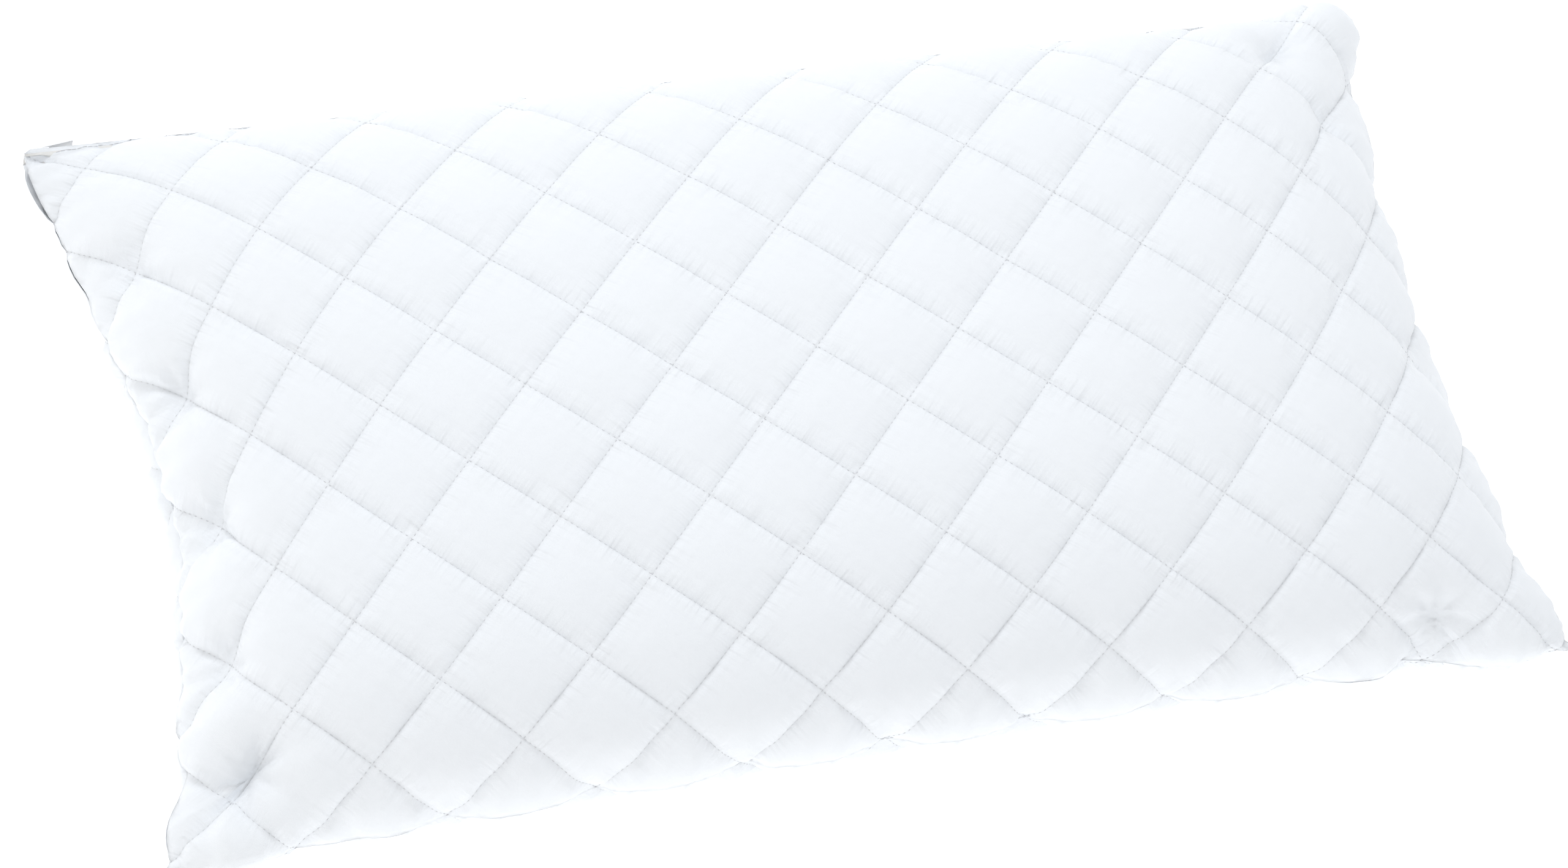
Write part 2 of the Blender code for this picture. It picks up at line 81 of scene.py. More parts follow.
def drawn_to_lines(column, row):
    """The mesh is closest beside the quilting lines, where the cloth turns most sharply."""
    first, second = diamond_place(column, row)
    margin = min(column, COLUMNS - column, row, ROWS - row)
    pull = 0.5 * min(margin / STEPS_PER_HALF, 1.0)
    first -= pull * math.sin(2 * math.pi * first) / (2 * math.pi)
    second -= pull * math.sin(2 * math.pi * second) / (2 * math.pi)
    return (
        FIRST_CROSSING + STEPS_PER_HALF * (first + second),
        FIRST_CROSSING + STEPS_PER_HALF * (first - second),
    )


def loft(column, row):
    """The wadding's share of its full loft: none on a quilting line, all of it mid-diamond."""
    first, second = diamond_place(column, row)
    return abs(math.sin(math.pi * first) * math.sin(math.pi * second)) ** 0.5


def loft_at(x, y):
    """The same, from a place on the cut in metres."""
    return loft(x / STEP, ROWS - y / STEP)


def cut_point(column, row):
    """A point of the panel as cut, flat, with the panel's middle at zero."""
    return (column - COLUMNS / 2) * STEP, (ROWS / 2 - row) * STEP


def stuffed_start(side, column, row):
    """Roughly where the point lies once the cover is stuffed. The cloth settles from here."""
    u = 2 * column / COLUMNS - 1
    v = 1 - 2 * row / ROWS
    x = HALF_LENGTH * (1.026 * u - 0.026 * u**5) - 0.022 * (1 - v * v) * u**5 * abs(u)
    y = ZIP_EDGE_Y - FINISHED_DEPTH / 2 * (1 - 1.106 * v + 0.106 * v**5)
    if v < 0:
        y += 0.012 * (1 - u * u) * v**6
    seam = SEAM_Z - 0.010 * (1 - v) / 2
    fullness = (1 - abs(u) ** 8) * (1 - abs(v) ** 5.2)
    if side == UPPER:
        seam += (CROWN_TOP - seam) * fullness
    elif side == LOWER:
        seam = max(0.003, seam - 1.1 * seam * fullness)
    return x, y, seam


sites = {}
settled = []
flat_cut = []
cut_places = []


def site(side, column, row):
    """The number of a mesh point. Both panels share the points of the three sewn edges."""
    on_zip = row == 0
    if not on_zip and (column in (0, COLUMNS) or row == ROWS):
        side = SEWN
    key = (side, column, row)
    if key not in sites:
        sites[key] = len(settled)
        near_column, near_row = drawn_to_lines(column, row)
        if on_zip:
            u = 2 * column / COLUMNS - 1
            settled.append((u * HALF_LENGTH, ZIP_EDGE_Y, SEAM_Z + side * PANEL_EDGE_RISE))
        else:
            settled.append(stuffed_start(side, near_column, near_row))
        x, y = cut_point(near_column, near_row)
        rise = 0.0 if on_zip else side * 0.007 * loft(near_column, near_row)
        flat_cut.append((x, y, rise))
        cut_places.append((x + CUT[0] / 2, y + CUT[1] / 2, 0.0))
    return sites[key]


def window_faces(side, left, right, back, front):
    """Diagonal squares between four lines of the cut, with triangles along the border."""
    faces = []
    for column in range(left, right + 1):
        for row in range(back, front + 1):
            if (column + row) % 2 == 0:
                continue
            ring = ((column - 1, row), (column, row + 1), (column + 1, row), (column, row - 1))
            ring = [p for p in ring if left <= p[0] <= right and back <= p[1] <= front]
            if len(ring) > 2:
                faces.append([site(side, *p) for p in ring][::side])
    return faces


panel_faces = {side: window_faces(side, 0, COLUMNS, 0, ROWS) for side in (UPPER, LOWER)}
closing = [
    [site(UPPER, c, 0), site(UPPER, c + 2, 0), site(LOWER, c + 2, 0), site(LOWER, c, 0)]
    for c in range(0, COLUMNS, 2)
]
closing.append([site(UPPER, 0, 0), site(LOWER, 0, 0), site(SEWN, 0, 2)])
closing.append([site(LOWER, COLUMNS, 0), site(UPPER, COLUMNS, 0), site(SEWN, COLUMNS, 2)])


SETTLING_FRAMES = 24
PRESSED_BELOW = 0.03
LEAST_HEIGHT = 0.0003


def settle_cover():
    """Lets the stuffed cover settle on the surface below, its zip edge held straight."""
    mesh = bpy.data.meshes.new("settling_cover")
    mesh.from_pydata(settled, [], panel_faces[UPPER] + panel_faces[LOWER] + closing)
    stuffed = bmesh.new()
    stuffed.from_mesh(mesh)
    volume = abs(stuffed.calc_volume())
    stuffed.free()
    cover = bpy.data.objects.new("settling_cover", mesh)
    bpy.context.scene.collection.objects.link(cover)
    cover.shape_key_add(name="stuffed")
    as_cut = cover.shape_key_add(name="as cut")
    as_cut.data.foreach_set("co", np.array(flat_cut).ravel())
    held = cover.vertex_groups.new(name="zip edge")
    held.add([n for key, n in sites.items() if key[2] == 0], 1.0, "REPLACE")

    bpy.ops.mesh.primitive_plane_add(size=3.0)
    surface = bpy.context.object
    surface.modifiers.new("Surface", "COLLISION")
    surface.collision.thickness_outer = 0.001
    surface.collision.cloth_friction = 5

    cloth = cover.modifiers.new("Percale", "CLOTH")
    make = cloth.settings
    make.quality = 8
    make.mass = 0.00125
    make.tension_stiffness = 60
    make.compression_stiffness = 60
    make.shear_stiffness = 5
    make.bending_stiffness = 0.3
    make.tension_damping = 10
    make.compression_damping = 10
    make.shear_damping = 10
    make.bending_damping = 0.5
    make.air_damping = 2
    make.rest_shape_key = as_cut
    make.vertex_group_mass = held.name
    make.pin_stiffness = 50
    make.use_pressure = True
    make.use_pressure_volume = True
    make.target_volume = volume
    make.pressure_factor = 20
    make.uniform_pressure_force = 0
    cloth.collision_settings.distance_min = 0.001
    scene = bpy.context.scene
    cloth.point_cache.frame_start = scene.frame_start = 1
    cloth.point_cache.frame_end = scene.frame_end = SETTLING_FRAMES
    for count in range(1, SETTLING_FRAMES + 1):
        scene.frame_set(count)
    found = cover.evaluated_get(bpy.context.evaluated_depsgraph_get()).to_mesh()
    places = np.empty(len(found.vertices) * 3)
    found.vertices.foreach_get("co", places)
    scene.frame_set(1)
    for obj in (cover, surface):
        bpy.data.objects.remove(obj)
    return places.reshape(-1, 3)


settled = np.array(settled)
settled = settle_cover()
# What lies on the surface below is pressed down onto it.
pressed = np.clip(1 - settled[:, 2] / PRESSED_BELOW, 0, 1)
settled[:, 2] -= pressed * (settled[:, 2].min() - LEAST_HEIGHT)


# Where the sewing draws the cloth in: column and row on the cut, then depth and spread.
GATHERS = (
    (6, 22, 0.009, 0.017),
    (6, 38, 0.011, 0.017),
    (6, 54, 0.012, 0.018),
    (6, 70, 0.010, 0.017),
    (8, 84, 0.019, 0.022),
    (142, 88, 0.015, 0.020),
    (150, 22, 0.006, 0.016),
    (154, 54, 0.006, 0.018),
    (146, 10, 0.010, 0.018),
)
# Fuller places, at three corners and along the front: column, row, rise of the upper and of the
# lower panel, and spread.
LOBES = (
    (7, 92, 0.012, 0.006, 0.026),
    (152, 90, 0.010, 0.006, 0.030),
    (154, 5, 0.016, 0.004, 0.028),
    (80, 88, 0.004, 0.000, 0.300),
)
# Where the sewn edges are drawn in: column, row, how far, and half width.
NOTCHES = [(0, row, 0.006, 0.011) for row in (22, 38, 54, 70)]
NOTCHES += [(0, 50, 0.019, 0.110)]
NOTCHES += [(COLUMNS, row, 0.004, 0.011) for row in (14, 30, 46, 62, 78)]
NOTCHES += [(column, ROWS, 0.004, 0.010) for column in range(30, 142, 16)]
NOTCHES += [(0, 82, 0.009, 0.015), (20, ROWS, 0.007, 0.015), (140, ROWS, 0.012, 0.014)]


def shaped_by_sewing():
    """Draws the settled cover in at its gathers and notches and fills out its corners."""
    shaped = settled.copy()
    outs = {side: panel_normals(side) for side in (UPPER, LOWER)}
    heart = np.array((0.0, ZIP_EDGE_Y - FINISHED_DEPTH / 2, SEAM_Z))
    cut = np.array(cut_places)
    for (side, column, row), number in sites.items():
        if row == 0:
            continue

        def share(at_column, at_row, spread):
            away = np.array((at_column * STEP, CUT[1] - at_row * STEP)) - cut[number, :2]
            return math.exp(-(away @ away) / spread**2)

        if side != SEWN:
            for at_column, at_row, upper_rise, lower_rise, spread in LOBES:
                rise = upper_rise if side == UPPER else lower_rise
                shaped[number] += outs[side][number] * rise * share(at_column, at_row, spread)
        if side == UPPER:
            for at_column, at_row, depth, spread in GATHERS:
                shaped[number] -= outs[side][number] * depth * share(at_column, at_row, spread)
        inward = heart - settled[number]
        inward[2] = 0.0
        inward /= np.linalg.norm(inward)
        near_edge = 1.0 if side == SEWN else 0.6
        for at_column, at_row, depth, spread in NOTCHES:
            shaped[number] += inward * depth * near_edge * share(at_column, at_row, spread)
    shaped[:, 2] = np.maximum(shaped[:, 2], LEAST_HEIGHT)
    return shaped


def mesh_of(name, points, faces, edges=()):
    mesh = bpy.data.meshes.new(name)
    mesh.from_pydata([tuple(p) for p in points], list(edges), faces)
    mesh.shade_smooth()
    return mesh


def add_piece(name, mesh):
    obj = bpy.data.objects.new(name, mesh)
    bpy.context.scene.collection.objects.link(obj)
    return obj


def plain(obj):
    """The object's mesh with its modifiers worked out and removed."""
    graph = bpy.context.evaluated_depsgraph_get()
    done = bpy.data.meshes.new_from_object(obj.evaluated_get(graph))
    obj.modifiers.clear()
    obj.data = done
    return done


def read(mesh, what, name):
    values = np.empty(len(mesh.vertices) * 3)
    source = mesh.vertices if what == "vertices" else mesh.attributes[what].data
    source.foreach_get(name, values)
    return values.reshape(-1, 3)


def store(mesh, name, values):
    mesh.attributes.new(name, "FLOAT_VECTOR", "POINT").data.foreach_set(
        "vector", np.asarray(values, dtype=np.float32).ravel()
    )


def panel_normals(side):
    """Outward directions of one panel at its mesh points."""
    mesh = mesh_of("panel_probe", settled, panel_faces[side])
    normals = read(mesh, "vertices", "normal")
    bpy.data.meshes.remove(mesh)
    return normals


settled = shaped_by_sewing()
outward = {side: panel_normals(side) for side in (UPPER, LOWER)}


def creases(cut):
    """Puckers beside the quilting lines, and creases at the sewn edges and the gathers."""
    x, y = cut[:, 0], cut[:, 1]
    height = np.zeros(len(cut))
    first, second = diamond_place(x / STEP, ROWS - y / STEP)
    spacing = 2 * STEPS_PER_HALF * STEP / math.sqrt(2)
    for line, other in ((first, second), (second, first)):
        nearest = np.round(line)
        away = np.abs(line - nearest) * spacing
        waves = np.sin(2 * np.pi * 4.3 * other + 3.1 * nearest)
        waves += np.sin(2 * np.pi * 2.7 * other + 5.3 * nearest + line)
        height += 0.0005 * waves * np.exp(-away / 0.009) * np.clip(away / 0.0035, 0, 1)
    for away, along, reach in (
        (x, y, 0.022),
        (CUT[0] - x, y + 0.31, 0.016),
        (y, x + 0.17, 0.026),
        (CUT[1] - y, x + 0.05, 0.012),
    ):
        waves = np.sin(along * 2 * np.pi / 0.0165 + 1.2 * np.sin(along * 41.0))
        waves += 0.7 * np.sin(along * 2 * np.pi / 0.0273 + 1.7 * np.sin(along * 23.0))
        height += 0.0011 * waves * np.exp(-away / reach) * np.clip(away / 0.004, 0, 1)
    for at_column, at_row, depth, spread in GATHERS:
        east, north = x - at_column * STEP, y - (CUT[1] - at_row * STEP)
        away = np.hypot(east, north) / spread
        rays = np.sin(np.arctan2(north, east) * 7 + at_row) * 0.13 * depth
        height += rays * away * np.exp(-(away**2) / 1.6)
    return height


def fine_panel(name, side):
    """One panel, subdivided, with the cloth's own turn at its edges and its cut stored on it."""
    used = sorted({n for face in panel_faces[side] for n in face})
    renumber = {n: i for i, n in enumerate(used)}
    faces = [[renumber[n] for n in face] for face in panel_faces[side]]
    mesh = mesh_of(name, settled[used], faces)
    store(mesh, "cut", np.array(cut_places)[used])
    panel = add_piece(name, mesh)
    finer = panel.modifiers.new("Finer", "SUBSURF")
    finer.levels = finer.render_levels = 1
    finer.boundary_smooth = "PRESERVE_CORNERS"
    mesh = plain(panel)
    cut = read(mesh, "cut", "vector")
    store(mesh, "loft", [(loft_at(x, y), 0.0, 0.0) for x, y, _ in cut])
    places = read(mesh, "vertices", "co")
    normals = read(mesh, "vertices", "normal")
    to_side = np.minimum(cut[:, 0], CUT[0] - cut[:, 0])
    sewn = np.minimum(to_side, cut[:, 1]) < 1e-5
    relief = read(mesh, "loft", "vector")[:, :1] * QUILT_RELIEF
    relief *= np.clip((CUT[1] - cut[:, 1:2]) / ZIP_EDGE_FLAT, 0.0, 1.0)
    relief[:, 0] += creases(cut)
    places += normals * relief * np.clip((places[:, 2:] - 0.004) / 0.012, 0.0, 1.0)
    places[sewn] += normals[sewn] * (PERCALE + 0.0001)
    places[:, 2] = np.maximum(places[:, 2], 0.0002)
    mesh.vertices.foreach_set("co", places.ravel())
    mesh.update()
    unwrapped = mesh.uv_layers.new(name="cut")
    corners = np.empty(len(mesh.loops), dtype=np.int32)
    mesh.loops.foreach_get("vertex_index", corners)
    unwrapped.data.foreach_set("uv", cut[corners, :2].ravel().astype(np.float32))
    return panel


class Wire:
    """A value on its way through a finish. Ordinary arithmetic on it adds the maths nodes."""

    def __init__(self, finish, socket):
        self.finish = finish
        self.socket = socket

    def maths(self, operation, *values):
        return self.finish.node(
            "ShaderNodeMath", {"operation": operation}, dict(enumerate(values))
        )

    def __add__(self, other):
        return self.maths("ADD", self, other)

    def __sub__(self, other):
        return self.maths("SUBTRACT", self, other)

    def __rsub__(self, other):
        return self.maths("SUBTRACT", other, self)

    def __mul__(self, other):
        return self.maths("MULTIPLY", self, other)

    def __truediv__(self, other):
        return self.maths("DIVIDE", self, other)

    def __pow__(self, other):
        return self.maths("POWER", self, other)

    __radd__ = __add__
    __rmul__ = __mul__

    def sine(self):
        return self.maths("SINE", self)

    def size(self):
        return self.maths("ABSOLUTE", self)

    def above(self, floor):
        return self.maths("MAXIMUM", self, floor)

    def to_nearest_whole(self):
        return self.maths("PINGPONG", self, 0.5)


class Finish:
    """A material in the making."""

    def __init__(self, name):
        self.material = bpy.data.materials.new(name)
        self.material.use_nodes = True
        self.tree = self.material.node_tree
        self.tree.nodes.clear()

    def node(self, kind, settings=None, inputs=None, output=0):
        made = self.tree.nodes.new(kind)
        for name, value in (settings or {}).items():
            setattr(made, name, value)
        for name, value in (inputs or {}).items():
            if isinstance(value, Wire):
                self.tree.links.new(value.socket, made.inputs[name])
            else:
                made.inputs[name].default_value = value
        return Wire(self, made.outputs[output])

    def parts(self, vector):
        split = self.node("ShaderNodeSeparateXYZ", None, {0: vector}).socket.node
        return [Wire(self, split.outputs[axis]) for axis in "XYZ"]

    def join(self, x, y, z=0.0):
        return self.node("ShaderNodeCombineXYZ", None, {0: x, 1: y, 2: z})

    def noise(self, vector, scale, detail=2.0, roughness=0.5):
        return self.node(
            "ShaderNodeTexNoise",
            None,
            {"Vector": vector, "Scale": scale, "Detail": detail, "Roughness": roughness},
        )

    def blend(self, share, low, high):
        return self.node(
            "ShaderNodeMix",
            {"data_type": "RGBA"},
            {0: share, 6: (*low, 1.0), 7: (*high, 1.0)},
            output=2,
        )

    def bump(self, height, distance, strength=1.0):
        return self.node(
            "ShaderNodeBump", None, {"Height": height, "Distance": distance, "Strength": strength}
        )

    def surface(self, inputs):
        shader = self.node("ShaderNodeBsdfPrincipled", None, inputs)
        end = self.tree.nodes.new("ShaderNodeOutputMaterial")
        self.tree.links.new(shader.socket, end.inputs["Surface"])
        return self.material


def weave(x, y, pitch):
    """Plain weave from two directions of the cloth: each yarn passes over, then under."""
    over = (x * (math.pi / pitch)).sine() * (y * (math.pi / pitch)).sine()
    return over.size()


def percale_finish():
    """Fine bleached percale, drawn down along the quilting lines and puckered beside them."""
    finish = Finish("quilted_percale")
    cut = finish.node("ShaderNodeUVMap", {"uv_map": "cut"})
    x, y, _ = finish.parts(cut)
    half = STEP * STEPS_PER_HALF
    first_x, first_y = FIRST_CROSSING * STEP, CUT[1] - FIRST_CROSSING * STEP
    across = (x - first_x) / (2 * half)
    along = (first_y - y) / (2 * half)
    heights = 0.0
    lines = 0.0
    for line, other in ((across + along, across - along), (across - along, across + along)):
        away = line.to_nearest_whole() * (half * math.sqrt(2))
        groove = (1 - away / 0.0016).above(0.0) ** 2.0
        beside = (1 - away / 0.014).above(0.0)
        run = finish.join(other * 9.0, line * 0.8)
        puckers = finish.noise(run, 1.0, 2.0, 0.6) - 0.5
        heights = heights + puckers * beside * 1.1 - groove * 0.10
        # The summed groove masks also grey the colour below: painted shade along the quilting
        # lines.
        lines = lines + groove
    soft = finish.noise(cut, 55.0, 3.0, 0.55) - 0.5
    yarns = weave(x, y, YARN_PITCH) * 0.03
    height = heights + soft * 0.45 + yarns
    # Colour: the cloth's random tone, plus painted shade that greys it along the quilting grooves.
    tone_and_groove_shade = finish.noise(cut, 9.0, 2.0) * 0.2 + lines * 0.15
    return finish.surface(
        {
            "Base Color": finish.blend(tone_and_groove_shade, PERCALE_COLOUR, (0.80, 0.82, 0.85)),
            "Roughness": 0.82 + soft * 0.12,
            "Sheen Weight": 0.25,
            "Sheen Roughness": 0.45,
            "Specular IOR Level": 0.25,
            "Normal": finish.bump(height, 0.0022, 1.0),
        }
    )


percale = percale_finish()
panels = {}
for side, word in ((UPPER, "upper"), (LOWER, "lower")):
    panel = fine_panel(f"quilted_panel_{word}", side)
    panel.data.materials.append(percale)
    thick = panel.modifiers.new("Percale thickness", "SOLIDIFY")
    thick.thickness = PERCALE
    thick.offset = -1.0
    panels[side] = panel
    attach(panel, "cushion")
    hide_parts(f"face_{word}")

# ---------------------------------------------------------------------------
# Inner cushion: fibre filling in its own bag
# Carded hollow fibre fills a bag of closely woven ticking, which slips in through the zip.
# ---------------------------------------------------------------------------

TICKING_TOP, TICKING_INSIDE = 0.0082, 0.0088
FILLING_TOP = 0.0096
SHARE_AT_SEAM, SHARE_OF_GAP = 0.02, 0.42
CUSHION_WINDOW = (4, COLUMNS - 4, 4, ROWS - 4)


def squeezed():
    """Each point's share of a layer's depth: less beside the seams, where all the layers meet."""
    share = np.ones(len(settled))
    for (side, column, row), number in sites.items():
        if side == SEWN:
            share[number] = SHARE_AT_SEAM
            continue
        gap = np.linalg.norm(settled[number] - settled[sites[-side, column, row]])
        share[number] = min(1.0, SHARE_OF_GAP * gap / FILLING_TOP)
    return share


depth_share = squeezed()
lofts = np.zeros(len(settled))
for (_, column, row), number in sites.items():
    lofts[number] = loft(column, row)


def sunk(side, depth, lifted=0.0):
    """The settled panel moved in by a depth, or out by a share of the loft."""
    out = (lofts * lifted - depth) * depth_share
    return settled + outward[side] * out[:, None]


def shell(name, faces, outer, inner):
    """A closed layer between two surfaces on the same mesh of the cut."""
    used = sorted({n for face in faces for n in face})
    order = {n: i for i, n in enumerate(used)}
    top = [[order[n] for n in face] for face in faces]
    count = len(used)
    closed = top + [[i + count for i in reversed(face)] for face in top]
    directed = {(a, b) for face in top for a, b in zip(face, face[1:] + face[:1])}
    for a, b in sorted(directed):
        if (b, a) not in directed:
            closed.append([b, a, a + count, b + count])
    mesh = mesh_of(name, np.vstack([outer[used], inner[used]]), closed)
    store(mesh, "cut", np.vstack([np.array(cut_places)[used]] * 2))
    return add_piece(name, mesh)


def cloth_finish(name, colour, shade, pitch, roughness):
    """Plain woven cloth, read from the object's own place."""
    finish = Finish(name)
    place = finish.node("ShaderNodeTexCoord", None, None, output=3)
    x, y, _ = finish.parts(place)
    yarns = weave(x, y, pitch)
    slubs = finish.noise(place, 140.0, 3.0)
    return finish.surface(
        {
            "Base Color": finish.blend(slubs, colour, shade),
            "Roughness": roughness + slubs * 0.1,
            "Sheen Weight": 0.2,
            "Normal": finish.bump(yarns + slubs * 0.5, pitch * 0.3, 0.6),
        }
    )


def fibre_finish(name, colour, shade):
    """Matted fibres, finer one way than the other."""
    finish = Finish(name)
    place = finish.node("ShaderNodeTexCoord", None, None, output=3)
    x, y, z = finish.parts(place)
    strands = finish.noise(finish.join(x * 90.0, y * 520.0, z * 240.0), 1.0, 4.0, 0.65)
    tufts = finish.noise(place, 30.0, 2.0)
    return finish.surface(
        {
            "Base Color": finish.blend(tufts, colour, shade),
            "Roughness": 0.9 + strands * 0.1,
            "Sheen Weight": 0.5,
            "Normal": finish.bump(strands + tufts * 2.0, 0.002, 0.8),
        }
    )


ticking = cloth_finish("cotton_ticking", (0.86, 0.86, 0.83), (0.80, 0.80, 0.77), 0.0006, 0.75)
filling = fibre_finish("hollow_fibre", (0.92, 0.92, 0.92), (0.84, 0.84, 0.84))
lower_of = np.arange(len(settled))
for (side, column, row), number in sites.items():
    if side != SEWN:
        lower_of[number] = sites[LOWER, column, row]
core = shell(
    "fibre_filling",
    window_faces(UPPER, *CUSHION_WINDOW),
    sunk(UPPER, FILLING_TOP),
    sunk(LOWER, FILLING_TOP)[lower_of],
)
core.data.materials.append(filling)
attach(core, "cushion")
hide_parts("fibre_core")
for side, word in ((UPPER, "upper"), (LOWER, "lower")):
    bag = shell(
        f"ticking_bag_{word}",
        window_faces(side, *CUSHION_WINDOW),
        sunk(side, TICKING_TOP),
        sunk(side, TICKING_INSIDE),
    )
    bag.data.materials.append(ticking)
    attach(bag, "cushion")
    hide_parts(f"ticking_{word}")
    size = [(CUSHION_WINDOW[i + 1] - CUSHION_WINDOW[i]) * STEP for i in (0, 2)]

# ---------------------------------------------------------------------------
# Wadding and backing of the quilting
# Under each panel lies carded polyester wadding, thin along the stitching and lofted between, and
# under that a thin gauze. The quilting stitches go through all three.
# ---------------------------------------------------------------------------

WADDING_TOP, WADDING_INSIDE = 0.0030, 0.0066
GAUZE_TOP, GAUZE_INSIDE = 0.0070, 0.0074
QUILTED_WINDOW = (2, COLUMNS - 2, 2, ROWS - 2)

wadding = fibre_finish("polyester_wadding", (0.93, 0.93, 0.93), (0.86, 0.86, 0.87))
gauze = cloth_finish("backing_gauze", (0.88, 0.88, 0.87), (0.80, 0.80, 0.79), 0.0011, 0.8)
for side, word in ((UPPER, "upper"), (LOWER, "lower")):
    faces = window_faces(side, *QUILTED_WINDOW)
    backing = shell(
        f"gauze_backing_{word}", faces, sunk(side, GAUZE_TOP), sunk(side, GAUZE_INSIDE)
    )
    backing.data.materials.append(gauze)
    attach(backing, "cushion")
    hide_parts(f"backing_{word}")
    lining = shell(
        f"wadding_{word}",
        faces,
        sunk(side, WADDING_TOP, QUILT_RELIEF * 0.7),
        sunk(side, WADDING_INSIDE),
    )
    lining.data.materials.append(wadding)
    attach(lining, "cushion")
    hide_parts(f"batting_{word}")

# ---------------------------------------------------------------------------
# Quilting stitches
# White polyester thread, lockstitched in two crossing sets of lines. Every stitch dips into the
# cloth at its ends and stands a little proud between.
# ---------------------------------------------------------------------------

THREAD_RADIUS = 0.0003
QUILTING_PITCH, QUILTING_STITCH, QUILTING_THREAD = 0.0034, 0.0015, 0.00026


def new_tree(name, given, result):
    """A geometry tree with its named inputs and its one result, and a way to add its nodes."""
    tree = bpy.data.node_groups.new(name, "GeometryNodeTree")
    for label, kind in given.items():
        tree.interface.new_socket(label, in_out="INPUT", socket_type=f"NodeSocket{kind}")
    tree.interface.new_socket(result, in_out="OUTPUT", socket_type="NodeSocketGeometry")

    def node(kind, settings=None, inputs=None):
        made = tree.nodes.new(kind)
        for label, value in (settings or {}).items():
            setattr(made, label, value)
        for label, value in (inputs or {}).items():
            if isinstance(value, bpy.types.NodeSocket):
                tree.links.new(value, made.inputs[label])
            else:
                made.inputs[label].default_value = value
        return made.outputs

    return tree, node


def stitch_tree():
    """A tree that sews along a line mesh: one small stitch for each pitch, turned to the cloth."""
    sizes = {"Pitch": "Float", "Stitch length": "Float", "Thread radius": "Float"}
    inputs = {"Line": "Geometry", **sizes, "Thread": "Material"}
    tree, node = new_tree("sewn_line", inputs, "Stitches")
    given = node("NodeGroupInput")
    curve = node("GeometryNodeMeshToCurve", None, {"Mesh": given["Line"]})["Curve"]
    points = node(
        "GeometryNodeResampleCurve",
        {"mode": "LENGTH"},
        {"Curve": curve, "Length": given["Pitch"]},
    )["Curve"]
    half = node(
        "ShaderNodeMath", {"operation": "MULTIPLY"}, {0: given["Stitch length"], 1: 0.5}
    )["Value"]
    thread = given["Thread radius"]
    size = node("ShaderNodeCombineXYZ", None, {"X": half, "Y": thread, "Z": thread})["Vector"]
    ball = node(
        "GeometryNodeMeshUVSphere", None, {"Segments": 4, "Rings": 5, "Radius": 1.0}
    )["Mesh"]
    lying = node(
        "GeometryNodeTransform", None, {"Geometry": ball, "Rotation": (0.0, math.pi / 2, 0.0)}
    )["Geometry"]
    stitch = node("GeometryNodeTransform", None, {"Geometry": lying, "Scale": size})["Geometry"]
    tangent = node("GeometryNodeInputTangent")["Tangent"]
    out = node("GeometryNodeInputNamedAttribute", {"data_type": "FLOAT_VECTOR"}, {"Name": "out"})
    along = node(
        "FunctionNodeAlignRotationToVector", {"axis": "X"}, {"Vector": tangent}
    )["Rotation"]
    upright = node(
        "FunctionNodeAlignRotationToVector",
        {"axis": "Z", "pivot_axis": "X"},
        {"Rotation": along, "Vector": out["Attribute"]},
    )["Rotation"]
    vary = node(
        "FunctionNodeRandomValue",
        {"data_type": "FLOAT_VECTOR"},
        {"Min": (0.9, 0.9, 0.9), "Max": (1.06, 1.1, 1.1), "Seed": 7},
    )["Value"]
    sewn = node(
        "GeometryNodeInstanceOnPoints",
        None,
        {"Points": points, "Instance": stitch, "Rotation": upright, "Scale": vary},
    )["Instances"]
    real = node("GeometryNodeRealizeInstances", None, {"Geometry": sewn})["Geometry"]
    smooth = node("GeometryNodeSetShadeSmooth", None, {"Geometry": real})["Geometry"]
    done = node(
        "GeometryNodeSetMaterial", None, {"Geometry": smooth, "Material": given["Thread"]}
    )["Geometry"]
    node("NodeGroupOutput", None, {"Stitches": done})
    return tree


def thread_finish():
    """Twisted polyester thread, with a soft shine along its strands."""
    finish = Finish("sewing_thread")
    place = finish.node("ShaderNodeTexCoord", None, None, output=3)
    x, y, z = finish.parts(place)
    twist = ((x + y + z) * 9000.0).sine()
    fuzz = finish.noise(place, 900.0, 2.0)
    return finish.surface(
        {
            "Base Color": finish.blend(fuzz, (0.80, 0.815, 0.84), (0.70, 0.715, 0.745)),
            "Roughness": 0.5 + fuzz * 0.2,
            "Sheen Weight": 0.3,
            "Normal": finish.bump(twist, 0.0001, 0.6),
        }
    )


def apply_tree(obj, tree, values):
    """Runs a tree on the object with its named inputs set, and keeps the plain mesh."""
    work = obj.modifiers.new(tree.name, "NODES")
    work.node_group = tree
    for item in tree.interface.items_tree:
        if item.in_out == "INPUT" and item.name in values:
            work[item.identifier] = values[item.name]
    return plain(obj)


def sew(name, lines, pitch, length, radius, body, replaced):
    """Stitches along lines, each a list of (place, outward) pairs."""
    places, outs, edges = [], [], []
    for line in lines:
        start = len(places)
        places += [place for place, _ in line]
        outs += [out for _, out in line]
        edges += [(i, i + 1) for i in range(start, len(places) - 1)]
    mesh = mesh_of(name, places, [], edges)
    store(mesh, "out", outs)
    obj = add_piece(name, mesh)
    apply_tree(
        obj,
        sewn_line,
        {"Pitch": pitch, "Stitch length": length, "Thread radius": radius, "Thread": sewing},
    )
    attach(obj, body)
    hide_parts(replaced)
    return obj


sewn_line = stitch_tree()
sewing = thread_finish()


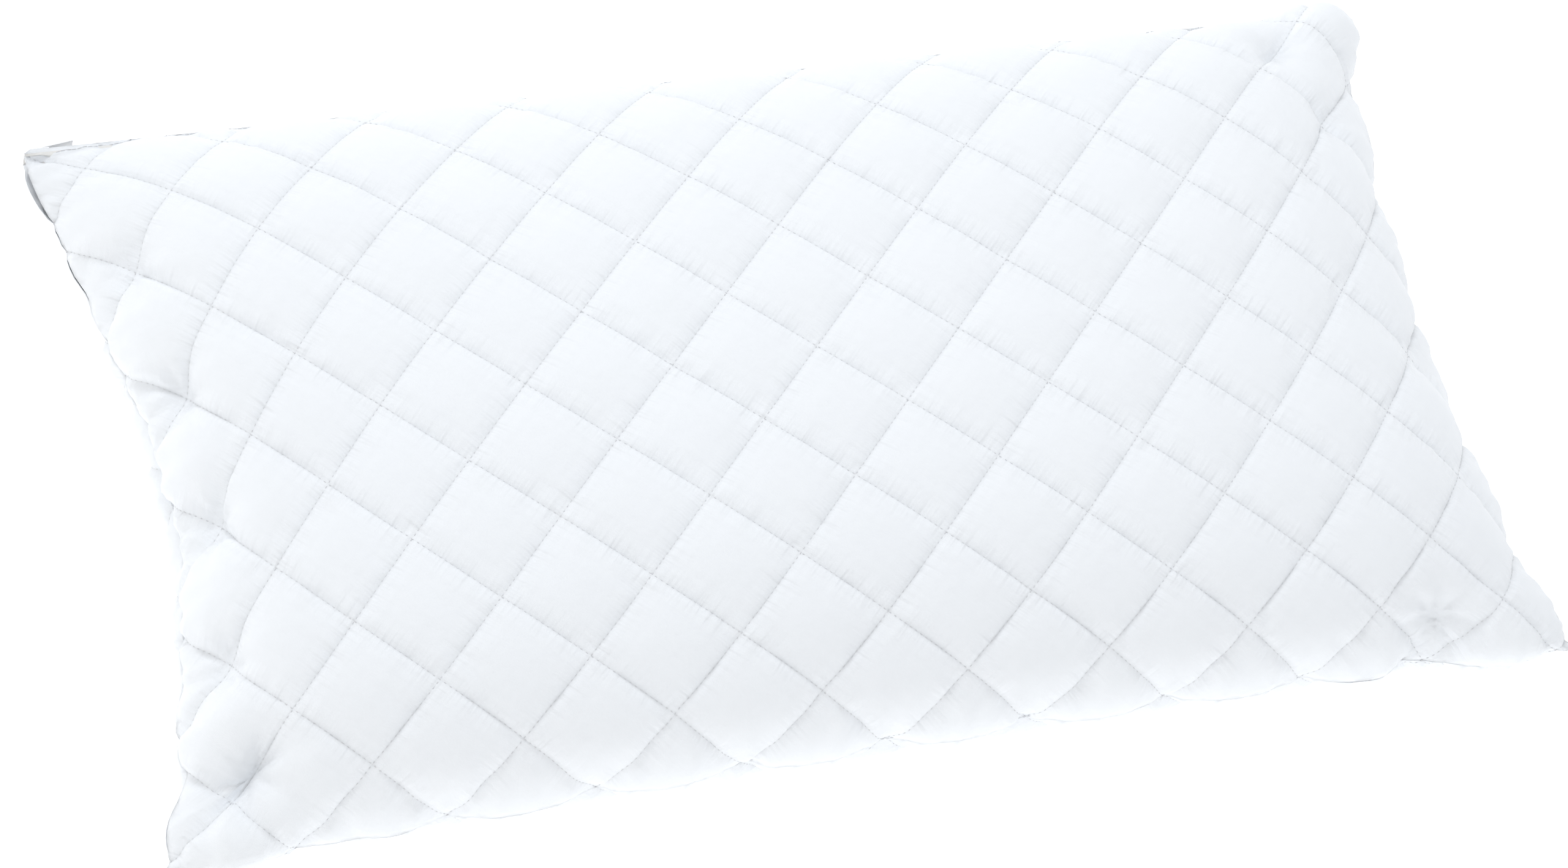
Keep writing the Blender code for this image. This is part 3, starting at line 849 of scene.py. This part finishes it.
def quilting_lines(side):
    """The lines of one panel, from its finished surface, in the order that they are sewn."""
    mesh = panels[side].data
    cut = read(mesh, "cut", "vector")
    places = read(mesh, "vertices", "co")
    normals = read(mesh, "vertices", "normal")
    lines = {}
    for number, (x, y, _) in enumerate(cut):
        place = diamond_place(x / STEP, ROWS - y / STEP)
        for way in (0, 1):
            if abs(place[way] - round(place[way])) < 0.004:
                lines.setdefault((way, round(place[way])), []).append((place[1 - way], number))
    for key in sorted(lines):
        run = sorted(lines[key])
        if side == LOWER:
            run = [point for point in run if places[point[1]][2] > 0.004]
        strand = []
        for (here, number), (following, _) in zip(run, run[1:] + [(1e9, 0)]):
            strand.append((places[number] + normals[number] * 0.0001, normals[number]))
            if following - here > 0.15:
                if len(strand) > 3:
                    yield strand
                strand = []


for side, word in ((UPPER, "upper"), (LOWER, "lower")):
    sew(
        f"quilting_stitches_{word}",
        list(quilting_lines(side)),
        QUILTING_PITCH,
        QUILTING_STITCH,
        QUILTING_THREAD,
        "cushion",
        f"quilting_thread_{word}",
    )

# ---------------------------------------------------------------------------
# Closed seam
# The two panels are sewn face to face round both ends and the front, then turned. The stitches lie
# just inside the knife edge.
# ---------------------------------------------------------------------------

SEAM_PITCH, SEAM_STITCH, SEAM_THREAD = 0.0028, 0.0025, 0.00028
SEAM_ALLOWANCE = 0.003


def closed_seam():
    """Down the left end, along the front and up the right end, a little inside the edge."""
    route = [(0, row) for row in range(2, ROWS, 2)]
    route += [(column, ROWS) for column in range(0, COLUMNS + 1, 2)]
    route += [(COLUMNS, row) for row in range(ROWS - 2, 0, -2)]
    line = []
    for column, row in route:
        number = sites[SEWN, column, row]
        near = (min(max(column, 2), COLUMNS - 2), min(max(row, 2), ROWS - 2))
        heart = (settled[sites[UPPER, *near]] + settled[sites[LOWER, *near]]) / 2
        inward = heart - settled[number]
        inward *= SEAM_ALLOWANCE / np.linalg.norm(inward)
        line.append((settled[number] + inward, outward[UPPER][number]))
    return [line]


sew(
    "closed_seam_stitches",
    closed_seam(),
    SEAM_PITCH,
    SEAM_STITCH,
    SEAM_THREAD,
    "cushion",
    "side_seam_thread",
)

# ---------------------------------------------------------------------------
# Zip tapes
# Two woven polyester tapes. Each stands beside its coil, then runs under its panel's edge, where a
# row of topstitching holds it.
# ---------------------------------------------------------------------------

TAPE_CLOTH = 0.0005
TAPE_WIDTH = 0.012
UNDER_PANEL = 0.0018
TOPSTITCH_PITCH, TOPSTITCH = 0.003, 0.0027
TAPE_PLANE_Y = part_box("zip_tape_upper")[1].y


def zip_tape(side, word):
    """One tape, a strip of five lines from beside the coil to under the panel."""
    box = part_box(f"zip_tape_{word}")
    start = box[0].z if side == UPPER else box[1].z
    bend = SEAM_Z + side * (PANEL_EDGE_RISE - PERCALE - 0.0007)
    reach = box[1].x
    rows = []
    for column in range(0, COLUMNS + 1, 2):
        edge = settled[sites[side, column, 0]]
        x = max(-reach, min(reach, edge[0]))
        near = sites.get((side, column, 2), sites.get((SEWN, column, 2)))
        at_end = column in (0, COLUMNS)
        under = outward[side][sites[side, column, 0] if at_end else near]
        inside = settled[near] - under * UNDER_PANEL
        first = np.array((x, TAPE_PLANE_Y - 0.0008, bend))
        share = 0.8 if 4 <= column <= COLUMNS - 4 else 0.15
        tip = first + (inside - first) * share
        middle = first + (inside - first) * share * 0.5 - np.array((0, 0.0002, side * 0.0002))
        rows.append(
            [
                (x, TAPE_PLANE_Y, start),
                (x, TAPE_PLANE_Y, (start + bend) / 2),
                tuple(first),
                tuple(middle),
                tuple(tip),
            ]
        )
    points = [point for row in rows for point in row]
    faces = []
    for i in range(len(rows) - 1):
        for j in range(4):
            a = 5 * i + j
            faces.append([a, a + 1, a + 6, a + 5][:: -side])
    return mesh_of(f"woven_zip_tape_{word}", points, faces)


tape = cloth_finish("woven_tape", (0.87, 0.87, 0.86), (0.80, 0.80, 0.79), 0.0005, 0.7)
for side, word in ((UPPER, "upper"), (LOWER, "lower")):
    strip = add_piece(f"woven_zip_tape_{word}", zip_tape(side, word))
    strip.data.materials.append(tape)
    thick = strip.modifiers.new("Tape thickness", "SOLIDIFY")
    thick.thickness = TAPE_CLOTH
    thick.offset = -1.0
    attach(strip, "cushion")
    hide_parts(f"zip_tape_{word}")
    size = (2 * HALF_LENGTH, TAPE_WIDTH)


def topstitching(side):
    """A line along the panel's zip edge, on its outside."""
    mesh = panels[side].data
    cut = read(mesh, "cut", "vector")
    places = read(mesh, "vertices", "co")
    normals = read(mesh, "vertices", "normal")
    run = [
        (x, n)
        for n, (x, y, _) in enumerate(cut)
        if abs(CUT[1] - y - STEP / 2) < STEP * 0.2 and 0.015 < x < CUT[0] - 0.015
    ]
    return [[(places[n] + normals[n] * 0.0002, normals[n]) for _, n in sorted(run)]]


for side, word in ((UPPER, "upper"), (LOWER, "lower")):
    sew(
        f"tape_topstitching_{word}",
        topstitching(side),
        TOPSTITCH_PITCH,
        TOPSTITCH,
        THREAD_RADIUS,
        "cushion",
        f"zip_topstitch_{word}",
    )

# ---------------------------------------------------------------------------
# Zip coils
# Each row of teeth is one nylon filament wound into a flattened coil and sewn to its tape's edge.
# ---------------------------------------------------------------------------

COIL_PITCH = 0.0013
FILAMENT_RADIUS = 0.00032


def coil_tree():
    """A tree that winds one long coil along X, flattened to the given width and thickness."""
    sizes = ("Length", "Turns", "Width", "Thickness", "Filament radius")
    inputs = {"Place": "Vector", **dict.fromkeys(sizes, "Float"), "Nylon": "Material"}
    tree, node = new_tree("wound_coil", inputs, "Coil")
    given = node("NodeGroupInput")
    spiral = node(
        "GeometryNodeCurveSpiral",
        None,
        {
            "Resolution": 8,
            "Rotations": given["Turns"],
            "Start Radius": 0.5,
            "End Radius": 0.5,
            "Height": given["Length"],
        },
    )["Curve"]
    size = node(
        "ShaderNodeCombineXYZ", None, {"X": given["Width"], "Y": given["Thickness"], "Z": 1.0}
    )["Vector"]

    def moved(shape, **how):
        return node("GeometryNodeTransform", None, {"Geometry": shape, **how})["Geometry"]

    half = node("ShaderNodeMath", {"operation": "MULTIPLY"}, {0: given["Length"], 1: -0.5})["Value"]
    down = node("ShaderNodeCombineXYZ", None, {"Z": half})["Vector"]
    middle = moved(moved(spiral, Scale=size), Translation=down)
    lying = moved(middle, Rotation=(0.0, math.pi / 2, 0.0))
    placed = moved(lying, Translation=given["Place"])
    ring = node(
        "GeometryNodeCurvePrimitiveCircle",
        None,
        {"Resolution": 4, "Radius": given["Filament radius"]},
    )["Curve"]
    wound = node(
        "GeometryNodeCurveToMesh",
        None,
        {"Curve": placed, "Profile Curve": ring, "Fill Caps": True},
    )["Mesh"]
    real = node("GeometryNodeRealizeInstances", None, {"Geometry": wound})["Geometry"]
    smooth = node("GeometryNodeSetShadeSmooth", None, {"Geometry": real})["Geometry"]
    done = node(
        "GeometryNodeSetMaterial", None, {"Geometry": smooth, "Material": given["Nylon"]}
    )["Geometry"]
    node("NodeGroupOutput", None, {"Coil": done})
    return tree


def nylon_finish():
    finish = Finish("nylon_coil")
    place = finish.node("ShaderNodeTexCoord", None, None, output=3)
    cloud = finish.noise(place, 600.0, 2.0)
    return finish.surface(
        {
            "Base Color": finish.blend(cloud, (0.86, 0.86, 0.86), (0.76, 0.76, 0.77)),
            "Roughness": 0.3 + cloud * 0.15,
            "Normal": finish.bump(cloud, 0.0001, 0.4),
        }
    )


wound_coil = coil_tree()
nylon = nylon_finish()
for word in ("upper", "lower"):
    low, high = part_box(f"zip_coil_{word}")
    size = high - low
    coil = add_piece(f"coil_teeth_{word}", mesh_of(f"coil_teeth_{word}", [(0, 0, 0)], []))
    apply_tree(
        coil,
        wound_coil,
        {
            "Place": (low + high) / 2,
            "Length": size.x - 2 * FILAMENT_RADIUS,
            "Turns": round(size.x / COIL_PITCH),
            "Width": size.z - 2 * FILAMENT_RADIUS,
            "Thickness": size.y - 2 * FILAMENT_RADIUS,
            "Filament radius": FILAMENT_RADIUS,
            "Nylon": nylon,
        },
    )
    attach(coil, "cushion")
    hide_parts(f"zip_coil_{word}")

# ---------------------------------------------------------------------------
# Bar tacks
# At each end of the teeth a dozen close stitches cross both tapes, so the slider can't run off.
# ---------------------------------------------------------------------------

TACK_STITCHES = 12
TACK_PITCH, TACK_THREAD = 0.0012, 0.00036

for word in ("left", "right"):
    low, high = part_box(f"zip_bar_tack_{word}")
    out = np.array((0.0, 1.0, 0.0))
    rows = []
    for count in range(TACK_STITCHES):
        z = low.z + 0.0003 + (high.z - low.z - 0.0006) * count / (TACK_STITCHES - 1)
        lean = 0.00015 * (-1) ** count
        ends = ((low.x + 0.0002, z - lean), (high.x - 0.0002, z + lean))
        rows.append([(np.array((x, (low.y + high.y) / 2, z_at)), out) for x, z_at in ends])
    sew(
        f"bar_tack_stitches_{word}",
        rows,
        TACK_PITCH,
        high.x - low.x,
        TACK_THREAD,
        "cushion",
        f"zip_bar_tack_{word}",
    )

# ---------------------------------------------------------------------------
# Slider and pull
# A small die-cast zinc slider, lacquered white, with its pull tab hooked through the bridge.
# ---------------------------------------------------------------------------


def lacquer_finish():
    """White lacquer over zinc: faint orange peel, and metal showing in fine scuffs."""
    finish = Finish("lacquered_zinc")
    place = finish.node("ShaderNodeTexCoord", None, None, output=3)
    scuffs = finish.noise(place, 450.0, 4.0, 0.7)
    worn = finish.node(
        "ShaderNodeMapRange",
        None,
        {"Value": scuffs, "From Min": 0.60, "From Max": 0.72, "To Min": 0.0, "To Max": 1.0},
    )
    peel = finish.noise(place, 1500.0, 2.0)
    return finish.surface(
        {
            "Base Color": finish.blend(worn, (0.78, 0.79, 0.81), (0.52, 0.53, 0.55)),
            "Metallic": worn * 0.8,
            "Roughness": 0.28 + worn * 0.2,
            "Normal": finish.bump(peel, 0.00008, 0.5),
        }
    )


lacquer = lacquer_finish()
for node_name in ("zip_slider_body", "zip_pull_tab"):
    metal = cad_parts[node_name]
    if not metal.data.materials:
        metal.data.materials.append(lacquer)
    for slot_at in metal.material_slots:
        slot_at.material = lacquer

# ---------------------------------------------------------------------------
# Studio
# A white sweep under the pillow, even light from all round with three weak softboxes, and the
# camera, which looks down on the upper panel.
# ---------------------------------------------------------------------------

CAMERA_AZIMUTH = math.radians(-36.36)
CAMERA_ELEVATION = math.radians(57.8)
CAMERA_ROLL = math.radians(24.31)
CAMERA_DISTANCE = 2.300
CAMERA_ASIDE = (-0.0185, -0.023)
CAMERA_TARGET = Vector((0.0, ZIP_EDGE_Y - FINISHED_DEPTH / 2, 0.07))
FOCAL = 97.5


def camera_stand():
    azimuth, elevation, roll = CAMERA_AZIMUTH, CAMERA_ELEVATION, CAMERA_ROLL
    back = Vector(
        (
            math.cos(elevation) * math.sin(azimuth),
            -math.cos(elevation) * math.cos(azimuth),
            math.sin(elevation),
        )
    )
    level = (-back).cross(Vector((0, 0, 1))).normalized()
    rise = level.cross(-back)
    right = math.cos(roll) * level + math.sin(roll) * rise
    up = -math.sin(roll) * level + math.cos(roll) * rise
    place = CAMERA_TARGET + back * CAMERA_DISTANCE
    place += right * CAMERA_ASIDE[0] + up * CAMERA_ASIDE[1]
    turn = Matrix((right, up, back)).transposed()
    return Matrix.LocRotScale(place, turn, None)


camera = bpy.data.objects.new("camera", bpy.data.cameras.new("camera"))
camera.data.lens = FOCAL
camera.data.sensor_width = 36.0
camera.matrix_world = camera_stand()
bpy.context.scene.collection.objects.link(camera)
bpy.context.scene.camera = camera

floor_finish = Finish("white_sweep")
floor_material = floor_finish.surface(
    {
        "Base Color": (0.9, 0.9, 0.9, 1.0),
        "Roughness": 0.9,
        "Emission Color": (1.0, 1.0, 1.0, 1.0),
        "Emission Strength": 0.55,
    }
)
corners = [(x * 4, y * 4, -0.0005) for x, y in ((-1, -1), (1, -1), (1, 1), (-1, 1))]
floor_mesh = mesh_of("floor", corners, [[0, 1, 2, 3]])
floor_mesh.materials.append(floor_material)
add_piece("floor", floor_mesh)

world = bpy.data.worlds.new("studio")
bpy.context.scene.world = world
world.use_nodes = True
world.node_tree.nodes["Background"].inputs["Color"].default_value = (1.0, 1.0, 1.0, 1.0)
world.node_tree.nodes["Background"].inputs["Strength"].default_value = 0.81


def softbox(name, place, size, power, colour):
    light = bpy.data.lights.new(name, "AREA")
    light.size = size
    light.energy = power
    light.color = colour
    obj = bpy.data.objects.new(name, light)
    obj.location = place
    obj.rotation_euler = (Vector((0, 0, 0)) - Vector(place)).to_track_quat("-Z", "Y").to_euler()
    bpy.context.scene.collection.objects.link(obj)


softbox("key", (-0.2, 1.3, 1.7), 0.7, 13, (0.96, 0.98, 1.0))
softbox("fill", (-1.8, -1.0, 0.8), 1.2, 3, (1.0, 0.92, 0.80))
softbox("front", (1.4, -1.6, 1.0), 1.2, 2, (0.96, 0.98, 1.0))
bpy.context.scene.view_settings.view_transform = "Standard"
